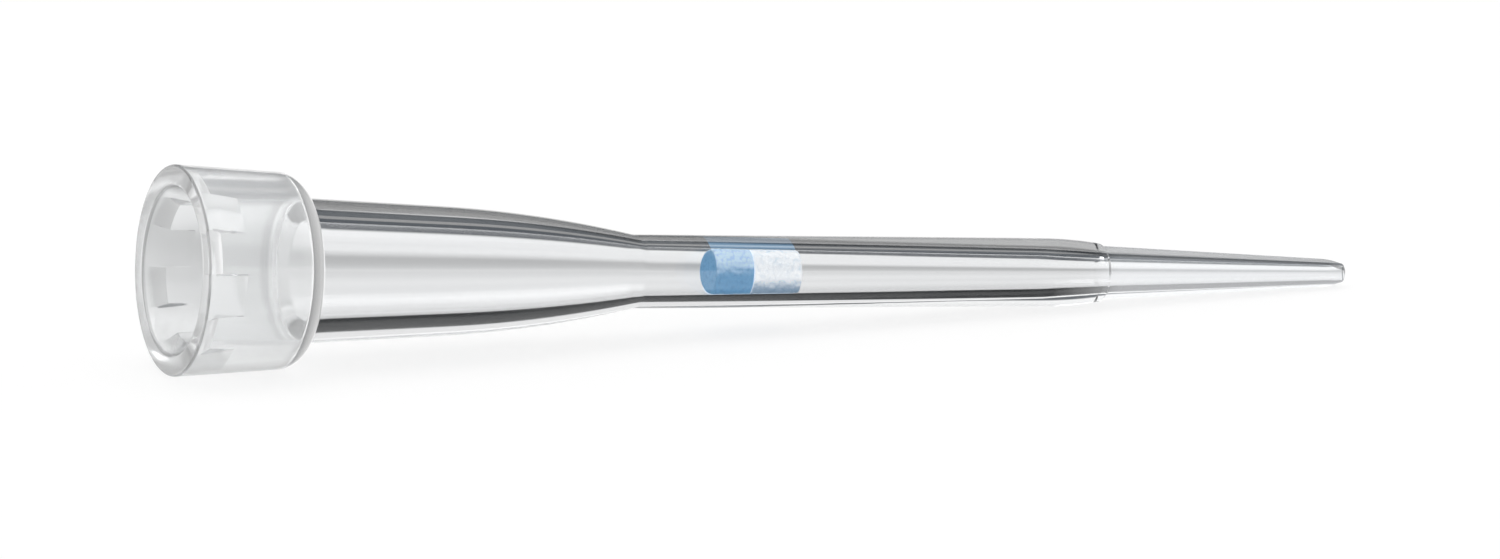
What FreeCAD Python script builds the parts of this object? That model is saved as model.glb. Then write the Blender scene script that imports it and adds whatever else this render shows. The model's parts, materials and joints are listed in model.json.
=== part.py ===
import FreeCAD, Part
import Sketcher
import math
import os

# A short filter tip for a small-volume pipette, in millimetres: a clear one-piece
# moulding with a collar that presses onto the pipette's nose, a body that narrows
# to a straight tube, a stepped fine point, and a porous filter plug of two layers
# pressed into the tube's bore.
#
# Every section is drawn along the tip's own axis, local X, from the collar's rim
# at 0 to the outlet at totalLength. The finished tip lies on its side as it comes
# to rest on a table, and the origin is the middle of its box, on that table.

SIZES = {
    "totalLength": 34.0,
    # collar: flared mouth, guide ribs and the straight seat that grips the pipette's nose
    "collarLength": 3.55,
    "leadLength": 1.3,
    "shoulderWall": 0.4,
    "seatRadius": 1.95,
    "mouthFlare": 0.3,
    "mouthRound": 0.14,
    "rimWidth": 0.58,
    "lipRound": 0.1,
    "collarWall": 0.65,
    "shoulderRound": 0.62,
    "shoulderFlat": 0.03,
    "ribStart": 0.3,
    "ribNose": 0.2,
    "ribAngle": 30.0,
    "ribCount": 6,
    # body: a slight cone under the collar that bends in to the tube
    "floorDepth": 0.45,
    "neckWall": 0.64,
    "coneLength": 4.1,
    "coneDrop": 0.215,
    "bendWall": 0.586,
    "bendLength": 5.55,
    # straight tube and its rounded end
    "tubeRootRound": 1.0,
    "tubeBoreRadius": 0.67,
    "tubeWall": 0.32,
    "tubeEndBoreRadius": 0.46,
    "tubeEndWall": 0.465,
    "tubeEndLength": 1.75,
    # fine point, which a small step sets off from the tube
    "stepHeight": 0.065,
    "pointLength": 7.15,
    "pointBoreRadius": 0.37,
    "pointWall": 0.355,
    "orificeRadius": 0.19,
    "outletWall": 0.185,
    "outletRound": 0.155,
    # filter plug, from where the body's bend ends
    "filterDepth": 2.15,
    "blueLength": 1.1,
    "whiteLength": 1.4,
    # turn about its own axis at which the tip lies
    "restTurn": 8.0,
}

# Radii and places along the axis that follow from the sizes.
mouthRadius = "(Sizes.seatRadius + Sizes.mouthFlare)"
rimRadius = f"({mouthRadius} + Sizes.rimWidth)"
collarEndRadius = "(Sizes.seatRadius + Sizes.collarWall)"
neckRadius = f"({collarEndRadius} - Sizes.shoulderRound - Sizes.shoulderFlat)"
bendRadius = f"({neckRadius} - Sizes.coneDrop)"
tubeRadius = "(Sizes.tubeBoreRadius + Sizes.tubeWall)"
pointRadius = "(Sizes.pointBoreRadius + Sizes.pointWall)"
outletRadius = "(Sizes.orificeRadius + Sizes.outletWall)"
seatEnd = "(Sizes.collarLength - Sizes.shoulderWall)"
bendPlace = "(Sizes.collarLength + Sizes.coneLength)"
tubeStart = f"({bendPlace} + Sizes.bendLength)"
stepPlace = "(Sizes.totalLength - Sizes.pointLength)"
tubeEnd = f"({stepPlace} - Sizes.tubeEndLength)"


def makeSheet(doc):
    sheet = doc.addObject("Spreadsheet::Sheet", "Sizes")
    for row, (name, value) in enumerate(SIZES.items(), start=1):
        sheet.set(f"A{row}", name)
        sheet.set(f"B{row}", str(value))
        sheet.setAlias(f"B{row}", name)
    doc.recompute()


def makeBody(doc, label):
    body = doc.addObject("PartDesign::Body", label)
    body.Label = label
    return body


def originFeature(body, role):
    return next(item for item in body.Origin.OriginFeatures if item.Role == role)


def drawSection(body, name, corners):
    """A closed outline on the XZ plane: each corner is a place along X and a radius.

    After a corner marked "bend" the outline runs on as an arc, tangent to the line before.
    """
    sketch = body.newObject("Sketcher::SketchObject", name)
    sketch.AttachmentSupport = [(originFeature(body, "XZ_Plane"), "")]
    sketch.MapMode = "FlatFace"
    points = [FreeCAD.Vector(sketch.evalExpression(x), sketch.evalExpression(r), 0)
              for x, r, *bend in corners]
    ends = []
    for run, point in enumerate(points):
        after = points[(run + 1) % len(points)]
        curve, fromTo = Part.LineSegment(point, after), (1, 2)
        if "bend" in corners[run]:
            curve, fromTo = tangentArc(points[run - 1], point, after)
        sketch.addGeometry(curve, False)
        ends.append(fromTo)
    for run, corner in enumerate(corners):
        kind = "Tangent" if "bend" in corner else "Coincident"
        sketch.addConstraint(Sketcher.Constraint(
            kind, (run - 1) % len(corners), ends[run - 1][1], run, ends[run][0]))
        tieCorner(sketch, run, ends[run][0], "DistanceX", corner[0])
        tieCorner(sketch, run, ends[run][0], "DistanceY", corner[1])
    return sketch


def tangentArc(before, start, end):
    """The arc from start to end that carries on the line before it, and its end numbers.

    A sketch's arc runs anticlockwise, so one that bends towards the axis is drawn backwards.
    """
    along = (start - before).normalize()
    inward = FreeCAD.Vector(along.y, -along.x, 0)
    chord = end - start
    reach = chord.Length ** 2 / (2 * chord.dot(inward))
    centre = start + inward * reach
    fromTo = (2, 1) if reach > 0 else (1, 2)
    first, last = (end, start) if reach > 0 else (start, end)
    angles = [math.atan2(point.y - centre.y, point.x - centre.x) for point in (first, last)]
    circle = Part.Circle(centre, FreeCAD.Vector(0, 0, 1), abs(reach))
    return Part.ArcOfCircle(circle, *angles), fromTo


def tieCorner(sketch, run, end, direction, text):
    """Hold a run's first point at a distance from the sketch's origin, given by the sheet."""
    if text == "0":
        axis = {"DistanceX": -2, "DistanceY": -1}[direction]
        sketch.addConstraint(Sketcher.Constraint("PointOnObject", run, end, axis))
        return
    number = sketch.addConstraint(
        Sketcher.Constraint(direction, -1, 1, run, end, sketch.evalExpression(text)))
    sketch.setExpression(f"Constraints[{number}]", text)


def revolve(body, kind, name, sketch):
    """Revolve a section about the tip's axis, as a Revolution or a Groove."""
    feature = body.newObject(f"PartDesign::{kind}", name)
    feature.Profile = sketch
    feature.ReferenceAxis = (sketch, ["H_Axis"])
    feature.Angle = 360
    return feature


def roundRing(body, name, place, radius, size):
    """Round the ring edge of the body's tip that stands at a place and radius."""
    body.Document.recompute()
    base = body.Tip
    x = base.evalExpression(place)
    r = base.evalExpression(radius)
    rings = [f"Edge{index}" for index, edge in enumerate(base.Shape.Edges, start=1)
             if isRing(edge, x, r)]
    if len(rings) != 1:
        raise RuntimeError(f"{name}: {len(rings)} ring edges at {x}, {r}")
    fillet = body.newObject("PartDesign::Fillet", name)
    fillet.Base = (base, rings)
    fillet.Radius = base.evalExpression(size)
    fillet.setExpression("Radius", size)
    return fillet


def isRing(edge, x, r):
    near = 1e-4
    curve = edge.Curve
    return (isinstance(curve, Part.Circle) and abs(curve.Center.x - x) < near
            and abs(curve.Radius - r) < near)


def makeOutside(body):
    section = drawSection(body, "OutsideSection", [
        ("0", "0"),
        ("0", rimRadius),
        ("Sizes.collarLength", collarEndRadius),
        ("Sizes.collarLength", neckRadius),
        (bendPlace, bendRadius, "bend"),
        (tubeStart, tubeRadius),
        (tubeEnd, "Sizes.tubeEndBoreRadius + Sizes.tubeEndWall", "bend"),
        (f"{stepPlace} - Sizes.stepHeight", f"{pointRadius} + Sizes.stepHeight"),
        (stepPlace, pointRadius),
        ("Sizes.totalLength", outletRadius),
        ("Sizes.totalLength", "0"),
    ])
    revolve(body, "Revolution", "Outside", section)
    roundRing(body, "Lip", "0", rimRadius, "Sizes.lipRound")
    roundRing(body, "Shoulder", "Sizes.collarLength", collarEndRadius, "Sizes.shoulderRound")
    roundRing(body, "TubeRoot", tubeStart, tubeRadius, "Sizes.tubeRootRound")
    roundRing(body, "Outlet", "Sizes.totalLength", outletRadius, "Sizes.outletRound")


def makeBore(body):
    section = drawSection(body, "BoreSection", [
        ("0", "0"),
        ("0", mouthRadius),
        ("Sizes.leadLength", "Sizes.seatRadius"),
        (seatEnd, "Sizes.seatRadius"),
        (f"{seatEnd} + Sizes.floorDepth", f"{neckRadius} - Sizes.neckWall"),
        (bendPlace, f"{bendRadius} - Sizes.bendWall", "bend"),
        (tubeStart, "Sizes.tubeBoreRadius"),
        (tubeEnd, "Sizes.tubeEndBoreRadius"),
        (stepPlace, "Sizes.pointBoreRadius"),
        ("Sizes.totalLength", "Sizes.orificeRadius"),
        ("Sizes.totalLength", "0"),
    ])
    revolve(body, "Groove", "Bore", section)
    roundRing(body, "Mouth", "0", mouthRadius, "Sizes.mouthRound")


def makeRibs(body):
    """Guide ribs in the flared mouth: their crests carry the seat's radius outward."""
    section = drawSection(body, "RibSection", [
        ("Sizes.ribStart", mouthRadius),
        ("Sizes.ribStart + Sizes.ribNose", "Sizes.seatRadius"),
        ("Sizes.leadLength", "Sizes.seatRadius"),
        ("Sizes.leadLength", mouthRadius),
    ])
    rib = revolve(body, "Revolution", "Rib", section)
    rib.Midplane = True
    rib.setExpression("Angle", "Sizes.ribAngle")
    body.Document.recompute()
    ring = body.newObject("PartDesign::PolarPattern", "Ribs")
    ring.Originals = [rib]
    ring.Axis = (originFeature(body, "X_Axis"), [""])
    ring.Angle = 360
    ring.setExpression("Occurrences", "Sizes.ribCount")
    body.Tip = ring


def makePlug(doc, label, start, end):
    """A layer of the filter, which fills the tapering bore from start to end."""
    body = makeBody(doc, label)
    section = drawSection(body, f"{label}_section", [
        (start, "0"),
        (start, tubeBoreRadiusAt(start)),
        (end, tubeBoreRadiusAt(end)),
        (end, "0"),
    ])
    revolve(body, "Revolution", f"{label}_solid", section)
    return body


def tubeBoreRadiusAt(place):
    """The tube bore's radius at a place between its two ends, as an expression."""
    taper = f"(Sizes.tubeBoreRadius - Sizes.tubeEndBoreRadius) / ({tubeEnd} - {tubeStart})"
    return f"Sizes.tubeBoreRadius - ({place} - {tubeStart}) * {taper}"


def roundAt(x, r, slope, size, side):
    """Centre and radius of the round where a flat end meets a flank that falls with this slope.

    side is 1 where the flank runs on along X from the end, and -1 where it runs back.
    """
    return x + side * size, r - side * slope * size - size * math.hypot(1, slope), size


def restingPlace(body):
    """The placement that lays the tip on its lowest collar round and its outlet."""
    names = [rimRadius, collarEndRadius, "Sizes.collarLength", "Sizes.lipRound",
             "Sizes.shoulderRound", pointRadius, outletRadius, "Sizes.totalLength",
             "Sizes.pointLength", "Sizes.outletRound", "Sizes.restTurn"]
    (rim, collarEnd, collarLength, lipRound, shoulderRound, point, outletEnd, length,
     pointLength, outletRound, restTurn) = [body.evalExpression(name) for name in names]
    collarSlope = (rim - collarEnd) / collarLength
    pointSlope = (point - outletEnd) / pointLength
    lip = roundAt(0, rim, collarSlope, lipRound, 1)
    shoulder = roundAt(collarLength, collarEnd, collarSlope, shoulderRound, -1)
    outlet = roundAt(length, outletEnd, pointSlope, outletRound, -1)
    tilt = max(tangentTilt(lip, outlet), tangentTilt(shoulder, outlet))
    sine, cosine = math.sin(tilt), math.cos(tilt)
    left = lip[0] * cosine - lip[1] * sine - lip[2]
    right = outlet[0] * cosine + outlet[1] * sine + outlet[2]
    bottom = -outlet[0] * sine - outlet[1] * cosine - outlet[2]
    base = FreeCAD.Vector(-(left + right) / 2, 0, -bottom)
    lean = FreeCAD.Rotation(FreeCAD.Vector(0, 1, 0), math.degrees(tilt))
    return FreeCAD.Placement(base, lean * FreeCAD.Rotation(FreeCAD.Vector(1, 0, 0), restTurn))


def tangentTilt(near, far):
    """Nose-down angle at which two rounds (place, radius, size) touch one floor."""
    run = far[0] - near[0]
    drop = near[1] - far[1]
    return math.atan2(drop, run) + math.asin((near[2] - far[2]) / math.hypot(run, drop))


def checkModel(doc, bodies):
    for item in doc.Objects:
        if {"Invalid", "Error"} & set(item.State):
            raise RuntimeError(f"{item.Label} failed: {item.State}")
    for body in bodies:
        if body.Shape.isNull() or not body.Shape.isValid() or len(body.Shape.Solids) != 1:
            raise RuntimeError(f"{body.Label} is not one valid solid")


doc = FreeCAD.newDocument("filterTip")
makeSheet(doc)

tipBody = makeBody(doc, "tip_body")
makeOutside(tipBody)
makeBore(tipBody)
makeRibs(tipBody)

filterStart = f"({tubeStart} + Sizes.filterDepth)"
blueEnd = f"({filterStart} + Sizes.blueLength)"
whiteEnd = f"({blueEnd} + Sizes.whiteLength)"
filterBlue = makePlug(doc, "filter_blue", filterStart, blueEnd)
filterWhite = makePlug(doc, "filter_white", blueEnd, whiteEnd)

bodies = [tipBody, filterBlue, filterWhite]
place = restingPlace(tipBody)
for body in bodies:
    body.Placement = place
doc.recompute()
checkModel(doc, bodies)

os.makedirs("parts", exist_ok=True)
for body in bodies:
    body.Shape.exportStep(f"parts/{body.Label}.step")
    print(f"{body.Label}: {body.Shape.Volume:.3f} mm3, {len(body.Shape.Faces)} faces")
box = tipBody.Shape.BoundBox
print(f"box {box}")
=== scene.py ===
import bpy
import json
import math
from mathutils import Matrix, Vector, noise


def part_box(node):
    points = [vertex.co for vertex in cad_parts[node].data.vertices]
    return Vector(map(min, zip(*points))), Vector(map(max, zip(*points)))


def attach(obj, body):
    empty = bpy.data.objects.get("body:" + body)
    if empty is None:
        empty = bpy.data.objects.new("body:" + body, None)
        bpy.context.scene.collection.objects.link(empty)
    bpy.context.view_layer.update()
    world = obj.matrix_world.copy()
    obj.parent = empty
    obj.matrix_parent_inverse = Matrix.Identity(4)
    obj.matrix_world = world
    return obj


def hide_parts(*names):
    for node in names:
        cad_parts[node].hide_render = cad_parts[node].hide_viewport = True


mm = 0.001

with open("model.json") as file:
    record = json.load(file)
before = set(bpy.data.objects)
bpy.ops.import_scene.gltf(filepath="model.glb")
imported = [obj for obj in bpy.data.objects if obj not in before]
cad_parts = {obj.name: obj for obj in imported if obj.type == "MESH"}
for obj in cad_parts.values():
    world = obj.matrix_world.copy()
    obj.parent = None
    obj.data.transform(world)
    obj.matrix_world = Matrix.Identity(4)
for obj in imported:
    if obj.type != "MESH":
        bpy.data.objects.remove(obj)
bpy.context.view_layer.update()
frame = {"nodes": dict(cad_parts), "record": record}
print("frame loaded:", sorted(frame["nodes"]))


view = {
    "azimuth": -22.0,        # degrees round the tip from straight on, the collar's end nearer
    "elevation": 10.78,      # degrees above the table
    "distance": 553.0,       # mm from the lens to the rim
    "lens": 500.0,
    "sensor": 36.0,
    "clip": (0.05, 20.0),    # m
    "rimAcross": 0.1143,     # where the rim's centre stands in the picture, in its width
    "rimDown": 0.4839,       # and in its height
    "aspect": 1500 / 559,
}


def tipAxis():
    # the middle of the seat, and the way from the collar to the outlet
    socket = next(mount for mount in frame["record"]["mounts"] if mount["name"] == "socket")
    out = Vector(socket["axis"]).normalized()
    seat = Vector(socket["pos_m"])
    return seat, -out


def makeCamera(rim):
    turn = math.radians(view["azimuth"])
    lift = math.radians(view["elevation"])
    back = Vector((math.sin(turn) * math.cos(lift), -math.cos(turn) * math.cos(lift), math.sin(lift)))
    camera = bpy.data.cameras.new("mainView")
    camera.lens = view["lens"]
    camera.sensor_width = view["sensor"]
    camera.clip_start, camera.clip_end = view["clip"]
    holder = bpy.data.objects.new("mainView", camera)
    bpy.context.scene.collection.objects.link(holder)
    facing = back.to_track_quat("Z", "Y")
    across = facing @ Vector((1, 0, 0))
    upward = facing @ Vector((0, 1, 0))
    width = view["distance"] * mm * view["sensor"] / view["lens"]
    height = width / view["aspect"]
    holder.location = (rim + back * view["distance"] * mm
                       + across * width * (0.5 - view["rimAcross"])
                       - upward * height * (0.5 - view["rimDown"]))
    holder.rotation_euler = facing.to_euler()
    bpy.context.scene.camera = holder


def addNode(tree, kind, place=(0, 0), **sockets):
    node = tree.nodes.new(kind)
    node.location = place
    for name, value in sockets.items():
        node.inputs[name].default_value = value
    return node


def addMath(tree, operation, place, *values):
    node = addNode(tree, "ShaderNodeMath", place)
    node.operation = operation
    for number, value in enumerate(values):
        if value is not None:
            node.inputs[number].default_value = value
    return node


def makeRamp(tree, place, stops):
    # stops are (position, colour or grey)
    ramp = addNode(tree, "ShaderNodeValToRGB", place)
    band = ramp.color_ramp
    while len(band.elements) < len(stops):
        band.elements.new(0.5)
    for element, (position, tone) in zip(band.elements, stops):
        element.position = position
        element.color = (*tone, 1) if isinstance(tone, tuple) else (tone, tone, tone, 1)
    return ramp


def addSpan(tree, place, start=0.0, end=1.0, low=0.0, high=1.0):
    # how far a value has come from start to end, given as low to high
    span = addNode(tree, "ShaderNodeMapRange", place)
    for name, value in zip(("From Min", "From Max", "To Min", "To Max"), (start, end, low, high)):
        span.inputs[name].default_value = value
    return span


def addMix(tree, place, first=None, second=None, blend="MIX", share=None):
    mix = addNode(tree, "ShaderNodeMix", place)
    mix.data_type = "RGBA"
    mix.blend_type = blend
    if share is not None:
        mix.inputs["Factor"].default_value = share
    for name, tone in (("A", first), ("B", second)):
        if tone is not None:
            mix.inputs[name].default_value = (*tone, 1)
    return mix


def splitOut(tree, kind, output, place):
    # X, Y and Z of what a new node puts out
    source = addNode(tree, kind, place)
    parts = addNode(tree, "ShaderNodeSeparateXYZ", (place[0] + 200, place[1]))
    tree.links.new(source.outputs[output], parts.inputs[0])
    return parts.outputs


def normalParts(tree, place):
    return splitOut(tree, "ShaderNodeNewGeometry", "Normal", place)


def spotParts(tree, place):
    return splitOut(tree, "ShaderNodeTexCoord", "Object", place)


def follow(tree, start, *nodes):
    # links a run of nodes by their first sockets, and gives the last one's value
    for node in nodes:
        tree.links.new(start, node.inputs[0])
        start = node.outputs[0]
    return start


stage = {
    "halfSize": 3.0,         # m
    "tone": 0.24,            # how much light the table gives back
    "glow": 0.775,           # and how much it gives off, as a light table does
    "axisHeight": 0.00162,   # m from the table to the tip's axis over the origin
    "axisDrop": 0.073,       # and how fast the axis comes down along X
    "leastHeight": 0.0003,   # m
    # painted shadow on the table, seen only through the plastic, by the slope down to it from the
    # tip's axis
    "through": ((0.0, 0.97), (0.033, 0.92), (0.06, 0.72), (0.085, 0.5), (0.115, 0.52),
                (0.15, 0.62), (0.194, 0.71), (0.24, 0.8), (0.294, 0.85), (0.45, 0.8)),
    # the same, a painted shadow, where the light is thrown back inside the plastic, by the distance
    # from the tip's axis: dark close under it, from where the collar ends, and less so under the fine
    # point
    "paintedThrownShadow": ((0.18, (0.003, 0.005, 0.007)), (0.27, 0.85)),
    "thrownReach": 0.005,    # m
    "thrownFrom": -0.0135,   # m along X
    "pointFrom": (0.0085, 0.0105),
    "pointShare": 0.6,
}


def makeFloor():
    half = stage["halfSize"]
    mesh = bpy.data.meshes.new("table")
    mesh.from_pydata([(-half, -half, 0), (half, -half, 0), (half, half, 0), (-half, half, 0)],
                     [], [(0, 1, 2, 3)])
    floor = bpy.data.objects.new("table", mesh)
    bpy.context.scene.collection.objects.link(floor)
    mesh.materials.append(whiteTable())


def whiteTable():
    material = bpy.data.materials.new("whiteTable")
    material.use_nodes = True
    tree = material.node_tree
    tree.nodes.clear()
    link = tree.links.new
    output = addNode(tree, "ShaderNodeOutputMaterial", (600, 0))
    matt = addNode(tree, "ShaderNodeBsdfDiffuse", (0, 100))
    grain = addNode(tree, "ShaderNodeTexNoise", (-600, 100), Scale=40.0)
    tone = stage["tone"]
    tones = makeRamp(tree, (-300, 100), [(0.3, tone * 0.99), (0.7, tone)])
    glow = addNode(tree, "ShaderNodeEmission", (0, -100), Strength=stage["glow"])
    rays = addNode(tree, "ShaderNodeLightPath", (200, 300))
    both = addNode(tree, "ShaderNodeAddShader", (200, 0))
    through = addNode(tree, "ShaderNodeEmission", (0, -300))
    either = addNode(tree, "ShaderNodeMixShader", (400, 0))
    link(grain.outputs["Fac"], tones.inputs["Fac"])
    link(tones.outputs["Color"], matt.inputs["Color"])
    link(matt.outputs[0], both.inputs[0])
    link(glow.outputs[0], both.inputs[1])
    link(paintedFloorShadow(tree), through.inputs["Color"])
    link(rays.outputs["Is Transmission Ray"], either.inputs[0])
    link(both.outputs[0], either.inputs[1])
    link(through.outputs[0], either.inputs[2])
    link(either.outputs[0], output.inputs["Surface"])
    return material


def paintedFloorShadow(tree):
    # painted shadow: the table's brightness seen through the plastic, by the slope down to it from the
    # tip's axis
    link = tree.links.new
    spot = spotParts(tree, (-1700, -400))
    height = follow(tree, spot["X"],
                    addMath(tree, "MULTIPLY", (-1300, -300), None, -stage["axisDrop"]),
                    addMath(tree, "ADD", (-1150, -300), None, stage["axisHeight"]),
                    addMath(tree, "MAXIMUM", (-1000, -300), None, stage["leastHeight"]))
    away = follow(tree, spot["Y"], addMath(tree, "ABSOLUTE", (-1150, -500)))
    slope = addMath(tree, "DIVIDE", (-850, -400))
    straight = makeRamp(tree, (-700, -400), stage["through"])
    link(away, slope.inputs[1])
    follow(tree, height, slope, straight)
    near = addMath(tree, "DIVIDE", (-850, -700), None, stage["thrownReach"])
    paintedThrownShadow = makeRamp(tree, (-700, -700), stage["paintedThrownShadow"])
    follow(tree, away, near, paintedThrownShadow)
    # painted shadow close under the tip for light thrown back inside the plastic, fainter under the
    # fine point
    beyond = addMath(tree, "GREATER_THAN", (-1150, -700), None, stage["thrownFrom"])
    fainter = addSpan(tree, (-1150, -900), *stage["pointFrom"], 1.0, stage["pointShare"])
    under = addMath(tree, "MULTIPLY", (-1000, -700))
    share = addMath(tree, "MULTIPLY", (-400, -800))
    tone = addMix(tree, (-200, -500))
    link(follow(tree, spot["X"], fainter), under.inputs[1])
    link(thrownBack(tree, (-850, -900)), share.inputs[1])
    link(follow(tree, spot["X"], beyond, under, share), tone.inputs["Factor"])
    link(straight.outputs["Color"], tone.inputs["A"])
    link(paintedThrownShadow.outputs["Color"], tone.inputs["B"])
    return tone.outputs["Result"]


def thrownBack(tree, place):
    # 1 for light that has been reflected on its way
    rays = addNode(tree, "ShaderNodeLightPath", place)
    over = addMath(tree, "GREATER_THAN", (place[0] + 200, place[1]), None, 0.5)
    return follow(tree, rays.outputs["Glossy Depth"], over)


# corners of the tip's section in mm: places along the axis from the rim, and radii
tip = {
    "length": 34.0,
    "collarLength": 3.55,
    "leadLength": 1.3,
    "leadRound": 0.05,
    "seatEnd": 3.15,
    "seatRadius": 1.95,
    "seatRound": 0.08,
    "mouthRadius": 2.25,
    "mouthRound": 0.14,
    "rimRadius": 2.83,
    "lipRound": 0.1,
    "collarEndRadius": 2.6,
    "shoulderRound": 0.62,
    "floorPlace": 3.6,
    "floorRadius": 1.31,
    "neckRadius": 1.95,
    "neckRound": 0.03,
    "bendPlace": 7.65,
    "bendRadius": 1.735,
    "bendBore": 1.149,
    "tubeStart": 13.2,
    "tubeRadius": 0.99,
    "tubeBore": 0.67,
    "tubeRootRound": 1.0,
    "tubeEnd": 25.1,
    "tubeEndRadius": 0.925,
    "tubeEndBore": 0.46,
    "stepPlace": 26.85,
    "stepHeight": 0.065,
    "stepRound": 0.08,
    "stepFootRound": 0.06,
    "pointRadius": 0.725,
    "pointBore": 0.37,
    "outletRadius": 0.375,
    "leanLength": 0.45,      # how far back the outlet's end starts to lean in
    "leanRound": 1.6,
    "outletLip": 0.25,
    "outletRound": 0.07,
    "orifice": 0.19,
    "orificeRound": 0.01,
    "ribStart": 0.3,
    "ribNose": 0.2,
    "ribAngle": 30.0,
    "ribCount": 6,
    "ribTurn": 98.0,         # middle of the first rib, from straight back, upward
    "ribFlank": 0.5,         # half the degrees over which a rib's side slopes
    "segments": 180,
    "spacing": 0.3,
}


def arcPoints(centre, first, last, steps):
    # from the end of one arm round the centre to the end of the other
    sweep = first.angle_signed(last)
    points = []
    for step in range(steps + 1):
        turn = -sweep * step / steps
        points.append(centre + Vector((first.x * math.cos(turn) - first.y * math.sin(turn),
                                       first.x * math.sin(turn) + first.y * math.cos(turn))))
    return points


def bendPoints(before, start, end, steps=24):
    # an arc that carries on the line before it
    along = (start - before).normalized()
    inward = Vector((along.y, -along.x))
    chord = end - start
    reach = chord.length_squared / (2 * chord.dot(inward))
    centre = start + inward * reach
    return arcPoints(centre, start - centre, end - centre, steps)[1:-1]


def roundPoints(before, corner, after, size, steps=8):
    # an arc of this size that touches both runs at a corner
    back = (before - corner).normalized()
    ahead = (after - corner).normalized()
    half = back.angle(ahead) / 2
    reach = size / math.tan(half)
    centre = corner + (back + ahead).normalized() * size / math.sin(half)
    return arcPoints(centre, corner + back * reach - centre, corner + ahead * reach - centre, steps)


def drawRun(corners):
    # corners are (place, radius), then a round's size, or "bend" for an arc from there on
    plain = []
    for index, corner in enumerate(corners):
        spot = Vector(corner[:2])
        size = corner[2] if len(corner) > 2 and corner[2] != "bend" else 0
        plain.append((spot, size))
        if "bend" in corner:
            arc = bendPoints(plain[-2][0], spot, Vector(corners[index + 1][:2]))
            plain += [(point, 0) for point in arc]
    run = []
    for index, (spot, size) in enumerate(plain):
        if size:
            run += roundPoints(plain[index - 1][0], spot, plain[index + 1][0], size)
        else:
            run.append(spot)
    filled = [run[0]]
    for spot in run[1:]:
        last = filled[-1]
        parts = max(1, math.ceil((spot - last).length / tip["spacing"]))
        filled += [last.lerp(spot, part / parts) for part in range(1, parts + 1)]
    return filled


def outsideRun():
    return drawRun([
        (0, (tip["mouthRadius"] + tip["rimRadius"]) / 2),
        (0, tip["rimRadius"], tip["lipRound"]),
        (tip["collarLength"], tip["collarEndRadius"], tip["shoulderRound"]),
        (tip["collarLength"], tip["neckRadius"], tip["neckRound"]),
        (tip["bendPlace"], tip["bendRadius"], "bend"),
        (tip["tubeStart"], tip["tubeRadius"], tip["tubeRootRound"]),
        (tip["tubeEnd"], tip["tubeEndRadius"], "bend"),
        (tip["stepPlace"] - tip["stepHeight"], tip["pointRadius"] + tip["stepHeight"],
         tip["stepRound"]),
        (tip["stepPlace"], tip["pointRadius"], tip["stepFootRound"]),
        (tip["length"] - tip["leanLength"], tip["outletRadius"], tip["leanRound"]),
        (tip["length"], tip["outletLip"], tip["outletRound"]),
        (tip["length"], tip["orifice"] + tip["orificeRound"]),
    ])


def boreRun():
    return drawRun([
        (0, (tip["mouthRadius"] + tip["rimRadius"]) / 2),
        (0, tip["mouthRadius"], tip["mouthRound"]),
        (tip["leadLength"], tip["seatRadius"], tip["leadRound"]),
        (tip["seatEnd"], tip["seatRadius"], tip["seatRound"]),
        (tip["floorPlace"], tip["floorRadius"], tip["seatRound"]),
        (tip["bendPlace"], tip["bendBore"], "bend"),
        (tip["tubeStart"], tip["tubeBore"]),
        (tip["tubeEnd"], tip["tubeEndBore"]),
        (tip["stepPlace"], tip["pointBore"]),
        (tip["length"], tip["orifice"], tip["orificeRound"]),
        (tip["length"], tip["orifice"] + tip["orificeRound"]),
    ])


def ribRadius(place):
    # how far in the ribs' crests stand
    nose = (place - tip["ribStart"]) / tip["ribNose"]
    rise = min(max(nose, 0), 1)
    return tip["mouthRadius"] + (tip["seatRadius"] - tip["mouthRadius"]) * rise


def ribShare(angle):
    # 1 on a rib's crest, 0 between the ribs
    pitch = 360 / tip["ribCount"]
    off = abs((angle - tip["ribTurn"] + pitch / 2) % pitch - pitch / 2)
    flank = tip["ribFlank"]
    return min(max((tip["ribAngle"] / 2 + flank - off) / (2 * flank), 0), 1)


def tipAngles():
    # even steps all round, and one more on each side and edge of every rib
    flank = tip["ribFlank"]
    angles = {round(360 * step / tip["segments"], 3) for step in range(tip["segments"])}
    for rib in range(tip["ribCount"]):
        middle = tip["ribTurn"] + rib * 360 / tip["ribCount"]
        for side in (-1, 1):
            for edge in (-flank, 0, flank):
                angles.add(round((middle + side * tip["ribAngle"] / 2 + edge) % 360, 3))
    return sorted(angles)


def placeOn(rim, along, place, angle, radius):
    # a point in metres from its place along the axis, its angle round it and its radius
    side = Vector((0, 1, 0))
    up = along.cross(side)
    turn = math.radians(angle)
    outward = side * math.cos(turn) + up * math.sin(turn)
    return rim + (along * place + outward * radius) * mm


def addPiece(name, points, faces, sharp=32):
    mesh = bpy.data.meshes.new(name)
    mesh.from_pydata(points, [], faces)
    mesh.validate()
    mesh.shade_smooth()
    mesh.set_sharp_from_angle(angle=math.radians(sharp))
    piece = bpy.data.objects.new(name, mesh)
    bpy.context.scene.collection.objects.link(piece)
    return piece


def gridFaces(rings, count):
    # quads of a closed outline turned all the way round
    faces = []
    for ring in range(rings):
        after = (ring + 1) % rings
        for index in range(count):
            ahead = (index + 1) % count
            faces.append((ring * count + index, after * count + index,
                          after * count + ahead, ring * count + ahead))
    return faces


def makeTip(rim, along):
    outside = outsideRun()
    bore = boreRun()[-2:0:-1]
    angles = tipAngles()
    points = []
    for angle in angles:
        share = ribShare(angle)
        for spot in outside:
            points.append(placeOn(rim, along, spot.x, angle, spot.y))
        for spot in bore:
            radius = spot.y
            if tip["ribStart"] <= spot.x <= tip["leadLength"]:
                radius += (min(spot.y, ribRadius(spot.x)) - spot.y) * share
            points.append(placeOn(rim, along, spot.x, angle, radius))
    faces = gridFaces(len(angles), len(outside) + len(bore))
    return addPiece("clearTip", points, faces)


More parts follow.
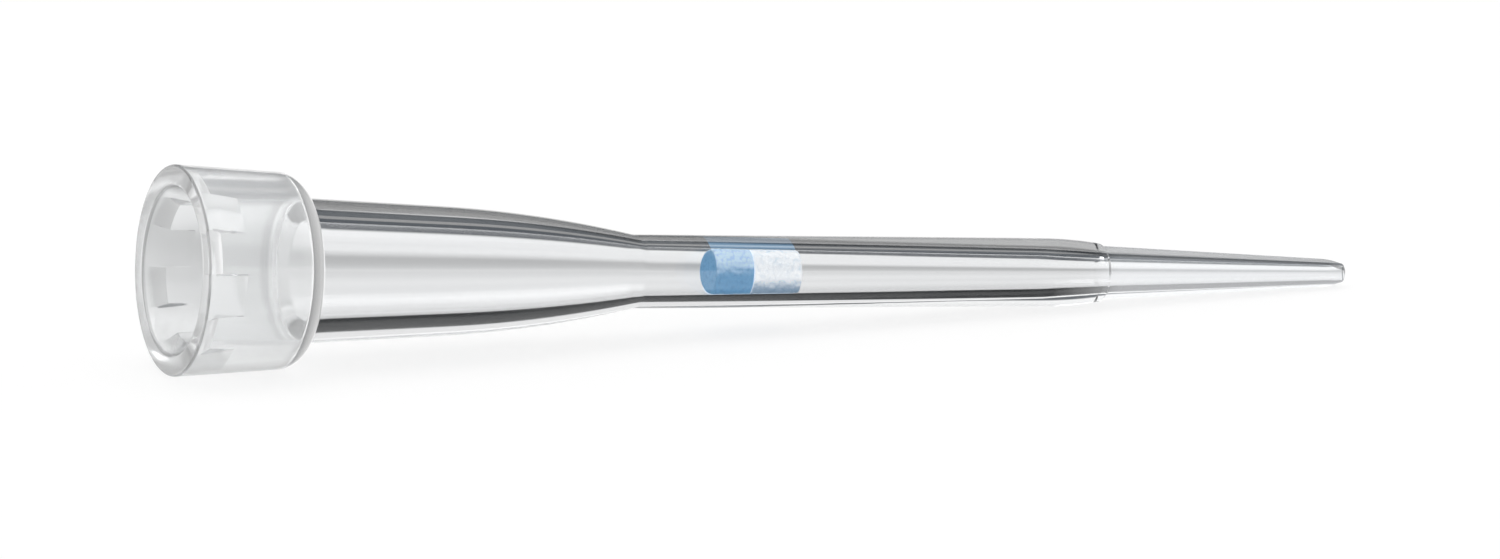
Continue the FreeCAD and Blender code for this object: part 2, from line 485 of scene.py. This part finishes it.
def paintTip(piece, rim, along):
    # the collar's faces take the second material and the bore's the third
    for face in piece.data.polygons:
        offset = (face.center - rim) / mm
        place = offset.dot(along)
        outward = offset - along * place
        inLead = place < tip["ribStart"] and outward.length < tip["mouthRadius"]
        inside = inLead or face.normal.dot(outward) < 0
        if place < (tip["seatEnd"] if inside else tip["collarLength"] - 0.001):
            face.material_index = 1
        elif inside:
            face.material_index = 2


# the filter plug: two layers of sintered beads, a hair clear of the bore
plug = {
    "gap": 0.012,            # mm between a layer and the bore
    "edgeRound": 0.05,
    "blueLength": 1.1,
    "whiteLength": 1.4,
    "roughness": 0.012,      # mm that the beads stand in and out
    "segments": 96,
    "rows": 14,
    "rings": (0.25, 0.5, 0.75),
    # a painted glow for the blue that shows in the wall over it: from where to where in m along X,
    # and how squarely the bore faces up there
    "wallGlow": (0.05, 0.16, 0.28),
    "wallGlowSpan": (-0.0016, 0.00085),
    "wallGlowTop": (0.84, 0.94),
    # the beads' painted shaded tone low on the plug and painted lit tone on top of it, how they face
    # where one turns to the other, and how much darker the joints are between them
    "blue": ((0.1, 0.29, 0.5), (0.56, 0.71, 0.86), (-0.05, 0.6)),
    "white": ((0.22, 0.32, 0.43), (0.92, 0.93, 0.94), (-0.6, 0.0)),
    "joint": (0.72, 0.8, 0.87),
    "paintedGlow": 0.52,          # painted glow, standing for the light that the beads pass on
    "matt": 0.75,
    "bend": 1.49,            # index of refraction
    "relief": 0.6,
    "beadHeight": 0.00002,   # m
}


def boreAt(place):
    share = (place - tip["tubeStart"]) / (tip["tubeEnd"] - tip["tubeStart"])
    return tip["tubeBore"] + (tip["tubeEndBore"] - tip["tubeBore"]) * share


def makeLayer(name, node, length, rim, along):
    low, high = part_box(node)
    middle = ((low + high) / 2 - rim).dot(along) / mm
    start = middle - length / 2
    end = middle + length / 2
    size = plug["edgeRound"]
    steps = 5
    corners = []
    for step in range(steps + 1):
        turn = math.pi / 2 * step / steps
        corners.append((start + size - size * math.cos(turn), size * (1 - math.sin(turn))))
    profile = []
    for inset in plug["rings"]:
        profile.append((start, boreAt(start) * inset))
    for place, drop in corners:
        profile.append((place, boreAt(place) - plug["gap"] - drop))
    for row in range(1, plug["rows"]):
        place = start + size + (length - 2 * size) * row / plug["rows"]
        profile.append((place, boreAt(place) - plug["gap"]))
    for place, drop in reversed(corners):
        mirrored = start + end - place
        profile.append((mirrored, boreAt(mirrored) - plug["gap"] - drop))
    for inset in reversed(plug["rings"]):
        profile.append((end, boreAt(end) * inset))
    segments = plug["segments"]
    points = []
    for ring in range(segments):
        angle = 360 * ring / segments
        for place, radius in profile:
            spot = placeOn(rim, along, place, angle, radius)
            bumps = noise.noise(spot / mm * 9) + 0.5 * noise.noise(spot / mm * 21)
            inward = min(0.0, bumps - 0.6) * plug["roughness"]
            points.append(placeOn(rim, along, place, angle, radius + inward))
    count = len(profile)
    faces = []
    for ring in range(segments):
        after = (ring + 1) % segments
        for index in range(count - 1):
            faces.append((ring * count + index, after * count + index,
                          after * count + index + 1, ring * count + index + 1))
    for place, index in ((start, 0), (end, count - 1)):
        points.append(placeOn(rim, along, place, 0, 0))
        for ring in range(segments):
            after = (ring + 1) % segments
            pair = (after * count + index, ring * count + index)
            faces.append((len(points) - 1, *(pair if index == 0 else pair[::-1])))
    return addPiece(name, points, faces, 60)


def newMaterial(name):
    material = bpy.data.materials.new(name)
    material.use_nodes = True
    tree = material.node_tree
    tree.nodes.clear()
    output = addNode(tree, "ShaderNodeOutputMaterial", (900, 0))
    finish = addNode(tree, "ShaderNodeBsdfPrincipled", (500, 0))
    tree.links.new(finish.outputs["BSDF"], output.inputs["Surface"])
    return material, tree, finish


def newGroup(name, inputs, outputs):
    group = bpy.data.node_groups.new(name, "ShaderNodeTree")
    for label, kind, value in inputs:
        socket = group.interface.new_socket(label, in_out="INPUT", socket_type=kind)
        socket.default_value = value
    for label, kind in outputs:
        group.interface.new_socket(label, in_out="OUTPUT", socket_type=kind)
    first = addNode(group, "NodeGroupInput", (-900, 0))
    last = addNode(group, "NodeGroupOutput", (600, 0))
    return group, first, last


def useGroup(tree, group, place, **sockets):
    node = tree.nodes.new("ShaderNodeGroup")
    node.node_tree = group
    node.location = place
    for name, value in sockets.items():
        node.inputs[name].default_value = value
    return node


def mouldedGroup():
    # faint flow marks along the moulding and a fine grain, the same in all of its finishes
    group, first, last = newGroup(
        "mouldedSurface",
        [("Flow", "NodeSocketFloat", 1.0), ("Grain", "NodeSocketFloat", 1.0)],
        [("Height", "NodeSocketFloat"), ("Haze", "NodeSocketFloat")])
    link = group.links.new
    where = addNode(group, "ShaderNodeTexCoord", (-900, 300))
    stretch = addNode(group, "ShaderNodeMapping", (-700, 300), Scale=(150, 900, 900))
    flow = addNode(group, "ShaderNodeTexNoise", (-500, 300), Scale=1.0, Detail=2.0)
    grain = addNode(group, "ShaderNodeTexNoise", (-500, 0), Scale=9000.0, Detail=3.0)
    flowPart = addMath(group, "MULTIPLY", (-200, 300))
    grainPart = addMath(group, "MULTIPLY", (-200, 0))
    height = addMath(group, "ADD", (100, 200))
    link(where.outputs["Object"], stretch.inputs["Vector"])
    link(stretch.outputs[0], flow.inputs["Vector"])
    link(where.outputs["Object"], grain.inputs["Vector"])
    link(flow.outputs["Fac"], flowPart.inputs[0])
    link(first.outputs["Flow"], flowPart.inputs[1])
    link(grain.outputs["Fac"], grainPart.inputs[0])
    link(first.outputs["Grain"], grainPart.inputs[1])
    link(flowPart.outputs[0], height.inputs[0])
    link(grainPart.outputs[0], height.inputs[1])
    link(height.outputs[0], last.inputs["Height"])
    link(flow.outputs["Fac"], last.inputs["Haze"])
    return group


def addBump(tree, height, normal, strength, distance):
    bump = addNode(tree, "ShaderNodeBump", (250, -250), Strength=strength, Distance=distance)
    tree.links.new(height, bump.inputs["Height"])
    tree.links.new(bump.outputs[0], normal)


# the fine point is a little cloudier than the tube, and has a faint painted glow
moulding = {
    "pointFrom": (0.0095, 0.0102),  # m along X
    "pointHaze": 0.09,
    "pointGlow": (0.05, 0.053, 0.057),
}

clear = {
    "tint": (0.985, 0.99, 0.995),
    "bend": 1.49,            # index of refraction
    "haze": (0.01, 0.03),
    "grain": 0.05,
    "ripple": 0.0000004,     # m
    # painted shade: how much light passes on the upper half, by how far out it enters over the bore's
    # radius there, and the outside's radius over the bore's at the tube's two ends
    "paintedUpperShade": ((0.35, 1.0), (0.42, 0.14), (0.58, 0.11), (0.66, 0.4)),
    "edgeSpan": (0.8, 2.0),
    "wallShare": (1.5, 2.0),
    "tube": (-0.0039, 0.008),  # m along X
    "sideOn": 0.927,         # how squarely the axis is seen
    "upperHalf": (-0.05, 0.1),  # how far up a surface faces where the upper half with its painted shade starts
}

milky = {
    "tint": (0.945, 0.955, 0.96),
    "bend": 1.49,
    "clearShare": 0.76,
    "haze": (0.05, 0.1),
    "grain": 0.4,
    "ripple": 0.000001,      # m
    # painted shade: how much light passes where it is seen at a slant, and in the rim's rounds by
    # how far they face along the axis
    "edge": ((0.6, 1.0), (0.82, 0.4), (0.95, 0.33), (1.0, 0.4)),
    "rounds": ((0.04, 1.0), (0.1, 0.4), (0.3, 0.4), (0.37, 0.9), (0.42, 1.0)),
    "ribShare": 0.5,         # how much of that the ribs' noses keep, which lie within noseRadius
    "noseRadius": 0.00224,   # m
    "axisHeight": 0.0028,    # m, in the rim
    # painted glow for light that the cloudy plastic gathers in its rim and its shoulder, by how far
    # they face along the axis
    "glow": ((0.0, 0.06), (0.3, 0.03), (0.54, 0.03), (0.66, 0.22), (0.8, 0.32), (1.0, 0.45)),
}


def finishPlastic(tree, finish, group, values):
    # what all of the moulding's finishes share, giving back its flow and where it is cloudier
    moulded = useGroup(tree, group, (-400, -150), Flow=1.0, Grain=values["grain"])
    haze = addSpan(tree, (0, -100), 0.0, 1.0, *values["haze"])
    cloudy = addSpan(tree, (0, -500), *moulding["pointFrom"])
    roughness = addMath(tree, "MULTIPLY_ADD", (200, -300), None, moulding["pointHaze"])
    finish.inputs["IOR"].default_value = values["bend"]
    tree.links.new(follow(tree, moulded.outputs["Haze"], haze), roughness.inputs[2])
    follow(tree, spotParts(tree, (-400, -500))["X"], cloudy, roughness)
    tree.links.new(roughness.outputs[0], finish.inputs["Roughness"])
    addBump(tree, moulded.outputs["Height"], finish.inputs["Normal"], 1.0, values["ripple"])
    return moulded.outputs["Haze"], cloudy.outputs[0]


def makeOutside(group):
    material, tree, finish = newMaterial("clearPlastic")
    cloudy = finishPlastic(tree, finish, group, clear)[1]
    finish.inputs["Transmission Weight"].default_value = 1.0
    finish.inputs["Emission Strength"].default_value = 1.0
    link = tree.links.new
    # painted glow on the fine point
    pointGlow = addMix(tree, (0, -700), (0, 0, 0), moulding["pointGlow"])
    lean = addNode(tree, "ShaderNodeLayerWeight", (-1900, 350), Blend=0.5)
    square = addMath(tree, "SUBTRACT", (-1700, 350), 1.0)
    squared = addMath(tree, "DIVIDE", (-1550, 350), None, clear["sideOn"])
    power = addMath(tree, "POWER", (-1400, 350), None, 2.0)
    rest = addMath(tree, "SUBTRACT", (-1250, 350), 1.0)
    out = addMath(tree, "POWER", (-1100, 350), None, 0.5)
    share = addSpan(tree, (-1500, 100), *clear["tube"], *clear["wallShare"])
    reach = addMath(tree, "MULTIPLY", (-900, 250))
    scale = addSpan(tree, (-700, 350), *clear["edgeSpan"])
    # painted shade: the base colour darkened in bands on the upper half, by the Layer Weight and how
    # far up a surface faces
    upperShade = makeRamp(tree, (-500, 450), clear["paintedUpperShade"])
    half = addSpan(tree, (-500, 0), *clear["upperHalf"])
    edge = addMix(tree, (-200, 300), (1, 1, 1))
    tinted = addMix(tree, (0, 300), None, clear["tint"], "MULTIPLY", 1.0)
    link(cloudy, pointGlow.inputs["Factor"])
    link(pointGlow.outputs["Result"], finish.inputs["Emission Color"])
    link(lean.outputs["Facing"], square.inputs[1])
    link(follow(tree, square.outputs[0], squared, power), rest.inputs[1])
    link(follow(tree, spotParts(tree, (-1900, 100))["X"], share), reach.inputs[1])
    follow(tree, rest.outputs[0], out, reach, scale, upperShade)
    link(follow(tree, normalParts(tree, (-900, 0))["Z"], half), edge.inputs["Factor"])
    link(upperShade.outputs["Color"], edge.inputs["B"])
    link(edge.outputs["Result"], tinted.inputs["A"])
    link(tinted.outputs["Result"], finish.inputs["Base Color"])
    return material


def makeInside(group):
    material, tree, finish = newMaterial("clearBore")
    flow = finishPlastic(tree, finish, group, clear)[0]
    finish.inputs["Transmission Weight"].default_value = 1.0
    tint = clear["tint"]
    tone = makeRamp(tree, (-150, 250), [(0.3, tuple(part * 0.99 for part in tint)), (0.7, tint)])
    tree.links.new(follow(tree, flow, tone), finish.inputs["Base Color"])
    addPaintedWallGlow(tree, finish)
    return material


def addPaintedWallGlow(tree, finish):
    # painted glow: the plug's blue that shows in the wall over it, where the bore faces up
    start, end = plug["wallGlowSpan"]
    top = addSpan(tree, (-500, -400), *plug["wallGlowTop"])
    off = addMath(tree, "SUBTRACT", (-550, -700), None, (start + end) / 2)
    distance = addMath(tree, "ABSOLUTE", (-400, -700))
    within = addMath(tree, "LESS_THAN", (-250, -700), None, (end - start) / 2)
    share = addMath(tree, "MULTIPLY", (-100, -500))
    glow = addMix(tree, (100, -500), (0, 0, 0), plug["wallGlow"])
    finish.inputs["Emission Strength"].default_value = 1.0
    link = tree.links.new
    link(follow(tree, spotParts(tree, (-900, -700))["X"], off, distance, within), share.inputs[1])
    follow(tree, normalParts(tree, (-900, -400))["Z"], top, share)
    link(share.outputs[0], glow.inputs["Factor"])
    link(glow.outputs["Result"], finish.inputs["Emission Color"])


def paintedRoundShadeShare(tree):
    # where the rim's painted shade falls: 1 in the rim's rounds, less within the ribs' noses
    where = addNode(tree, "ShaderNodeTexCoord", (-1300, 900))
    centre = addNode(tree, "ShaderNodeVectorMath", (-1100, 900))
    centre.operation = "SUBTRACT"
    centre.inputs[1].default_value = (0, 0, milky["axisHeight"])
    across = addNode(tree, "ShaderNodeVectorMath", (-900, 900))
    across.operation = "MULTIPLY"
    across.inputs[1].default_value = (0, 1, 1)
    radius = addNode(tree, "ShaderNodeVectorMath", (-700, 900))
    radius.operation = "LENGTH"
    beyond = addMath(tree, "GREATER_THAN", (-500, 900), None, milky["noseRadius"])
    share = addSpan(tree, (-300, 900), 0.0, 1.0, milky["ribShare"], 1.0)
    follow(tree, where.outputs["Object"], centre, across, radius)
    return follow(tree, radius.outputs["Value"], beyond, share)


def makeMilky(group):
    material, tree, finish = newMaterial("milkyPlastic")
    flow = finishPlastic(tree, finish, group, milky)[0]
    finish.inputs["Transmission Weight"].default_value = milky["clearShare"]
    finish.inputs["Emission Strength"].default_value = 1.0
    link = tree.links.new
    tint = milky["tint"]
    tone = makeRamp(tree, (-150, 250), [(0.3, tuple(part * 0.97 for part in tint)), (0.7, tint)])
    # painted shade: the base colour darker where a surface is seen at a slant and in the rim's rounds
    lean = addNode(tree, "ShaderNodeLayerWeight", (-400, 500), Blend=0.5)
    edge = makeRamp(tree, (-150, 500), milky["edge"])
    rounds = makeRamp(tree, (-150, 750), milky["rounds"])
    darker = addMix(tree, (200, 600), blend="MULTIPLY")
    both = addMix(tree, (400, 300), blend="MULTIPLY", share=1.0)
    # painted glow in the rim and the shoulder, by how far a surface faces along the axis
    half = addSpan(tree, (-500, -400), -1.0, 1.0)
    glow = makeRamp(tree, (-300, -400), milky["glow"])
    facing = follow(tree, normalParts(tree, (-900, -400))["X"], half)
    link(follow(tree, facing, glow), finish.inputs["Emission Color"])
    link(paintedRoundShadeShare(tree), darker.inputs["Factor"])
    link(follow(tree, lean.outputs["Facing"], edge), darker.inputs["A"])
    link(follow(tree, facing, rounds), darker.inputs["B"])
    link(follow(tree, flow, tone), both.inputs["A"])
    link(darker.outputs["Result"], both.inputs["B"])
    link(both.outputs["Result"], finish.inputs["Base Color"])
    return material


def beadGroup():
    # sintered beads: round grains with darker joints and uneven tone
    group, first, last = newGroup(
        "sinteredBeads",
        [("Tone", "NodeSocketColor", (1, 1, 1, 1)), ("Joint", "NodeSocketColor", (0.5, 0.5, 0.5, 1)),
         ("Scale", "NodeSocketFloat", 11000.0)],
        [("Color", "NodeSocketColor"), ("Height", "NodeSocketFloat")])
    link = group.links.new
    where = addNode(group, "ShaderNodeTexCoord", (-900, 300))
    beads = addNode(group, "ShaderNodeTexVoronoi", (-600, 200))
    patches = addNode(group, "ShaderNodeTexNoise", (-600, -100), Scale=1800.0, Detail=2.0)
    joints = addSpan(group, (-350, 200), 0.45, 0.85)
    cloud = addSpan(group, (-350, -100), 0.35, 0.75, 0.0, 0.35)
    share = addMath(group, "MAXIMUM", (-150, 100))
    tones = addMix(group, (100, 200), blend="MULTIPLY")
    height = addMath(group, "SUBTRACT", (100, -100), 1.0)
    link(where.outputs["Object"], beads.inputs["Vector"])
    link(where.outputs["Object"], patches.inputs["Vector"])
    link(first.outputs["Scale"], beads.inputs["Scale"])
    link(beads.outputs["Distance"], joints.inputs["Value"])
    link(patches.outputs["Fac"], cloud.inputs["Value"])
    link(joints.outputs[0], share.inputs[0])
    link(cloud.outputs[0], share.inputs[1])
    link(share.outputs[0], tones.inputs["Factor"])
    link(first.outputs["Tone"], tones.inputs["A"])
    link(first.outputs["Joint"], tones.inputs["B"])
    link(beads.outputs["Distance"], height.inputs[1])
    link(tones.outputs["Result"], last.inputs["Color"])
    link(height.outputs[0], last.inputs["Height"])
    return group


def makeBeads(name, group, tones):
    low, top, turn = tones
    material, tree, finish = newMaterial(name)
    link = tree.links.new
    # painted light and shade: the beads darker where they face down and lighter where they face up
    lit = addSpan(tree, (-700, 100), *turn)
    lit.interpolation_type = "SMOOTHSTEP"
    tone = addMix(tree, (-500, 100), low, top)
    beads = useGroup(tree, group, (-250, 100), Joint=(*plug["joint"], 1))
    # painted glow: the beads give off their own colour
    finish.inputs["Emission Strength"].default_value = plug["paintedGlow"]
    finish.inputs["Roughness"].default_value = plug["matt"]
    finish.inputs["IOR"].default_value = plug["bend"]
    link(follow(tree, normalParts(tree, (-1100, 100))["Z"], lit), tone.inputs["Factor"])
    link(tone.outputs["Result"], beads.inputs["Tone"])
    link(beads.outputs["Color"], finish.inputs["Base Color"])
    link(beads.outputs["Color"], finish.inputs["Emission Color"])
    addBump(tree, beads.outputs["Height"], finish.inputs["Normal"], plug["relief"], plug["beadHeight"])
    return material


light = {
    "soft": 0.75,            # the even light that falls on matt surfaces
    "overhead": 1.0,         # W
    "overheadPlace": (0.0, 0.1, 0.6),
    "overheadSize": (0.5, 0.5),
    # what shows in and through the plastic, by the sine of its height over the table's edge:
    # a white wall, a dark band with a narrow strip light in it, and a white ceiling
    "dark": (0.1, 0.11, 0.122),
    "studio": ((0.0, 1.0), (0.16, 1.0), (0.21, "dark"), (0.5, "dark"), (0.53, 0.3), (0.62, 0.3),
               (0.65, "dark"), (0.85, "dark"), (0.95, 2.0)),
    # and what shows straight through it
    "through": ((0.0, 1.0), (0.17, 1.0), (0.25, "dark"), (0.5, "dark"), (0.56, 1.0)),
    # past the tip's two ends the studio is pale all over, from one sine to the other along X
    "ends": (0.6, 0.8),
    "pale": (0.75, 0.75, 0.75),
}


def makeWorld():
    world = bpy.data.worlds.new("studio")
    bpy.context.scene.world = world
    world.use_nodes = True
    tree = world.node_tree
    tree.nodes.clear()
    link = tree.links.new
    output = addNode(tree, "ShaderNodeOutputWorld", (900, 0))
    seen = addNode(tree, "ShaderNodeBackground", (300, 100))
    soft = addNode(tree, "ShaderNodeBackground", (300, -100), Strength=light["soft"])
    soft.inputs["Color"].default_value = (1, 1, 1, 1)
    through = addNode(tree, "ShaderNodeBackground", (300, 300))
    straight = addNode(tree, "ShaderNodeMixShader", (500, 200))
    either = addNode(tree, "ShaderNodeMixShader", (700, 0))
    rays = addNode(tree, "ShaderNodeLightPath", (0, 300))
    clean = addMath(tree, "SUBTRACT", (200, 500))
    toward = splitOut(tree, "ShaderNodeTexCoord", "Generated", (-600, 0))
    ends = follow(tree, toward["X"],
                  addMath(tree, "ABSOLUTE", (-400, -300)),
                  addSpan(tree, (-200, -300), *light["ends"]))
    for name, shown, down in (("studio", seen, 0), ("through", through, 300)):
        stops = [(height, light["dark"] if tone == "dark" else tone) for height, tone in light[name]]
        mixed = addMix(tree, (100, down), None, light["pale"])
        link(follow(tree, toward["Z"], makeRamp(tree, (-200, down), stops)), mixed.inputs["A"])
        link(ends, mixed.inputs["Factor"])
        link(mixed.outputs["Result"], shown.inputs["Color"])
    link(rays.outputs["Is Transmission Ray"], clean.inputs[0])
    link(thrownBack(tree, (-200, 500)), clean.inputs[1])
    link(clean.outputs[0], straight.inputs[0])
    link(seen.outputs[0], straight.inputs[1])
    link(through.outputs[0], straight.inputs[2])
    link(rays.outputs["Is Diffuse Ray"], either.inputs[0])
    link(straight.outputs[0], either.inputs[1])
    link(soft.outputs[0], either.inputs[2])
    link(either.outputs[0], output.inputs["Surface"])


def makeLamp(name, place, aim, size, power):
    data = bpy.data.lights.new(name, "AREA")
    data.shape = "RECTANGLE"
    data.size = size[0]
    data.size_y = size[1]
    data.energy = power
    lamp = bpy.data.objects.new(name, data)
    lamp.location = place
    lamp.rotation_euler = (Vector(place) - Vector(aim)).to_track_quat("Z", "Y").to_euler()
    bpy.context.scene.collection.objects.link(lamp)


print("setting the stage")
seat, along = tipAxis()
rim = seat - along * tip["leadLength"] * mm
makeCamera(rim)
makeFloor()
makeWorld()
makeLamp("overhead", light["overheadPlace"], (0, 0, 0), light["overheadSize"], light["overhead"])

print("building the tip")
clearTip = makeTip(rim, along)
moulded = mouldedGroup()
for makeFinish in (makeOutside, makeMilky, makeInside):
    clearTip.data.materials.append(makeFinish(moulded))
paintTip(clearTip, rim, along)
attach(clearTip, "root")
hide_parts("tip_body")

print("building the filter")
blueLayer = makeLayer("blueLayer", "filter_blue", plug["blueLength"], rim, along)
beads = beadGroup()
blueLayer.data.materials.append(makeBeads("blueBeads", beads, plug["blue"]))
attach(blueLayer, "root")
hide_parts("filter_blue")
whiteLayer = makeLayer("whiteLayer", "filter_white", plug["whiteLength"], rim, along)
whiteLayer.data.materials.append(makeBeads("whiteBeads", beads, plug["white"]))
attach(whiteLayer, "root")
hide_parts("filter_white")

bpy.context.scene.view_settings.view_transform = "Standard"
